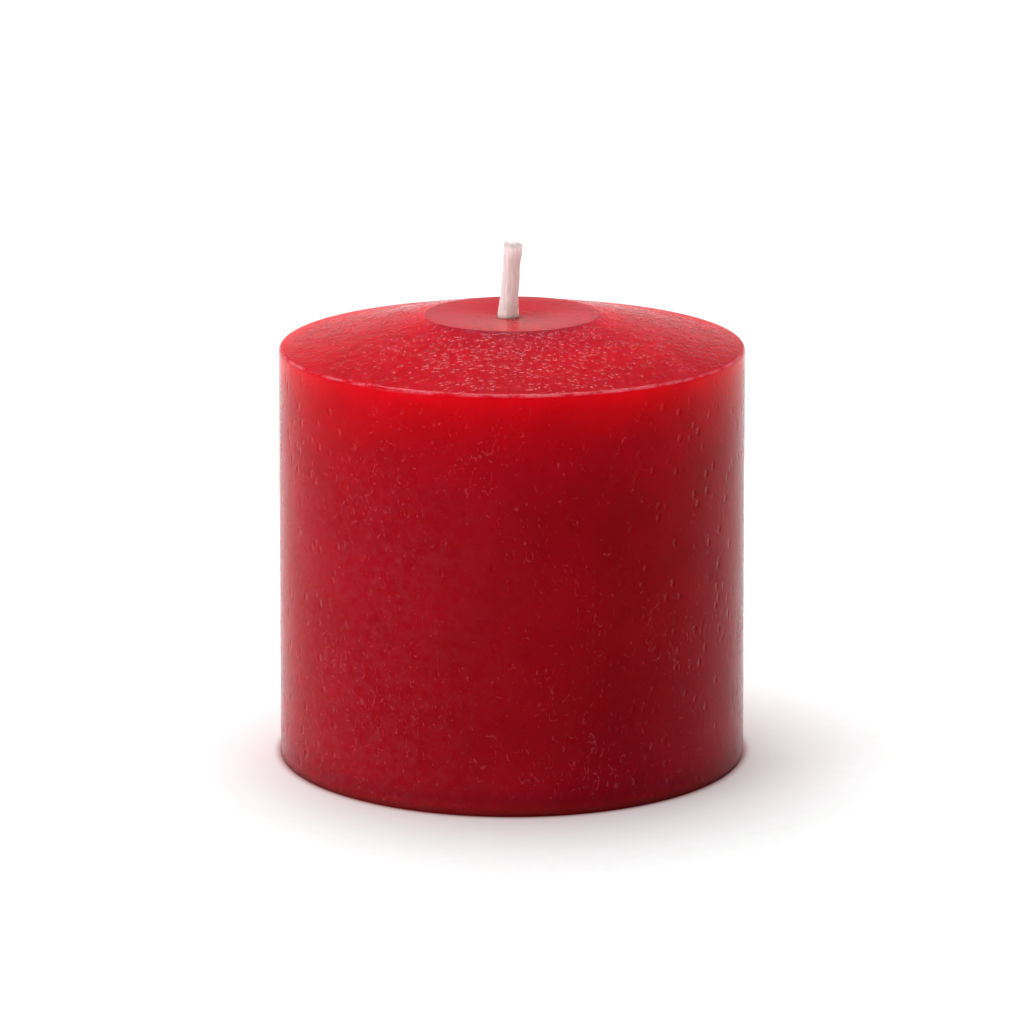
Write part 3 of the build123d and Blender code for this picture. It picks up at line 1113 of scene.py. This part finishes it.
def sky_ramp(tree, height, levels):
    """Grey levels by the sine of the elevation."""
    made = node(tree, "ShaderNodeValToRGB")
    stops = made.color_ramp.elements
    while len(stops) < len(levels):
        stops.new(0.5)
    for stop, (place, level) in zip(stops, levels):
        stop.position = place
        stop.color = grey(level)
    tree.links.new(height, made.inputs["Fac"])
    return made.outputs["Color"]


def make_world():
    """A dim studio, brighter towards the horizon and on the wall behind the candle."""
    world = bpy.data.worlds.new("studio")
    bpy.context.scene.world = world
    world.use_nodes = True
    tree = world.node_tree
    place = node(tree, "ShaderNodeTexCoord")
    split = node(tree, "ShaderNodeSeparateXYZ")
    tree.links.new(place.outputs["Generated"], split.inputs[0])
    back, up = split.outputs["Y"], split.outputs["Z"]
    around = sky_ramp(tree, up, SKY_AROUND)
    behind = sky_ramp(tree, up, SKY_BEHIND)
    blend = mix_colour(tree, fade(tree, back, *WALL_EDGE), around, behind)
    tree.links.new(blend, tree.nodes["Background"].inputs["Color"])


def aim(thing, target):
    """Turns a lamp or camera to look at a point."""
    thing.rotation_euler = (Vector(target) - thing.location).to_track_quat("-Z", "Y").to_euler()


def direction(azimuth, elevation):
    """A unit vector. Azimuth 0 is the camera's side, and grows to the right."""
    azimuth, elevation = math.radians(azimuth), math.radians(elevation)
    flat = math.cos(elevation)
    return Vector((flat * math.sin(azimuth), -flat * math.cos(azimuth), math.sin(elevation)))


def make_lamp(name, kind, power, place, target):
    """A lamp that looks at a point."""
    light = bpy.data.lights.new(name, kind)
    light.energy = power
    lamp = bpy.data.objects.new(name, light)
    lamp.location = place
    bpy.context.scene.collection.objects.link(lamp)
    aim(lamp, target)
    return light


def make_softbox(name, power, size, place, target):
    """A rectangular lamp, wide and high as size says."""
    light = make_lamp(name, "AREA", power, place, target)
    light.shape = "RECTANGLE"
    light.size, light.size_y = size


def make_lights():
    """A broad overhead light, a thin strip high behind and a soft light from the left."""
    overhead = make_lamp("overhead", "SUN", OVERHEAD_POWER, direction(*OVERHEAD_FROM), (0, 0, 0))
    overhead.angle = OVERHEAD_SPREAD
    behind = direction(*BACK_FROM) * BACK_DISTANCE
    make_softbox("back_strip", BACK_POWER, BACK_SIZE, behind, (0, 0, RIM_HEIGHT))
    left = direction(*SIDE_FROM) * SIDE_DISTANCE
    make_softbox("left_softbox", SIDE_POWER, SIDE_SIZE, left, (0, 0, RIM_HEIGHT / 2))


def make_camera():
    """A long lens, a little above the candle."""
    camera = bpy.data.cameras.new("camera")
    camera.lens = CAMERA_LENS
    camera.sensor_width = CAMERA_SENSOR
    camera.clip_start = 0.05
    camera.clip_end = 50
    seat = bpy.data.objects.new("camera", camera)
    back = CAMERA_DISTANCE * math.cos(CAMERA_PITCH)
    up = CAMERA_DISTANCE * math.sin(CAMERA_PITCH)
    seat.location = (0, -back, CAMERA_TARGET[2] + up)
    bpy.context.scene.collection.objects.link(seat)
    aim(seat, CAMERA_TARGET)
    bpy.context.scene.camera = seat


make_pillar()
make_seal()
wick_rng = np.random.default_rng(23)
cotton = cotton_material()
for number in range(1, 2 * YARNS_EACH_WAY + 1):
    make_yarn(wick_rng, number, cotton)
make_core(cotton)
make_primer()
dress("base_pour", pour_material())
dress("wick_sustainer", steel_material())
make_floor()
make_world()
make_lights()
make_camera()
bpy.context.scene.view_settings.view_transform = "Standard"
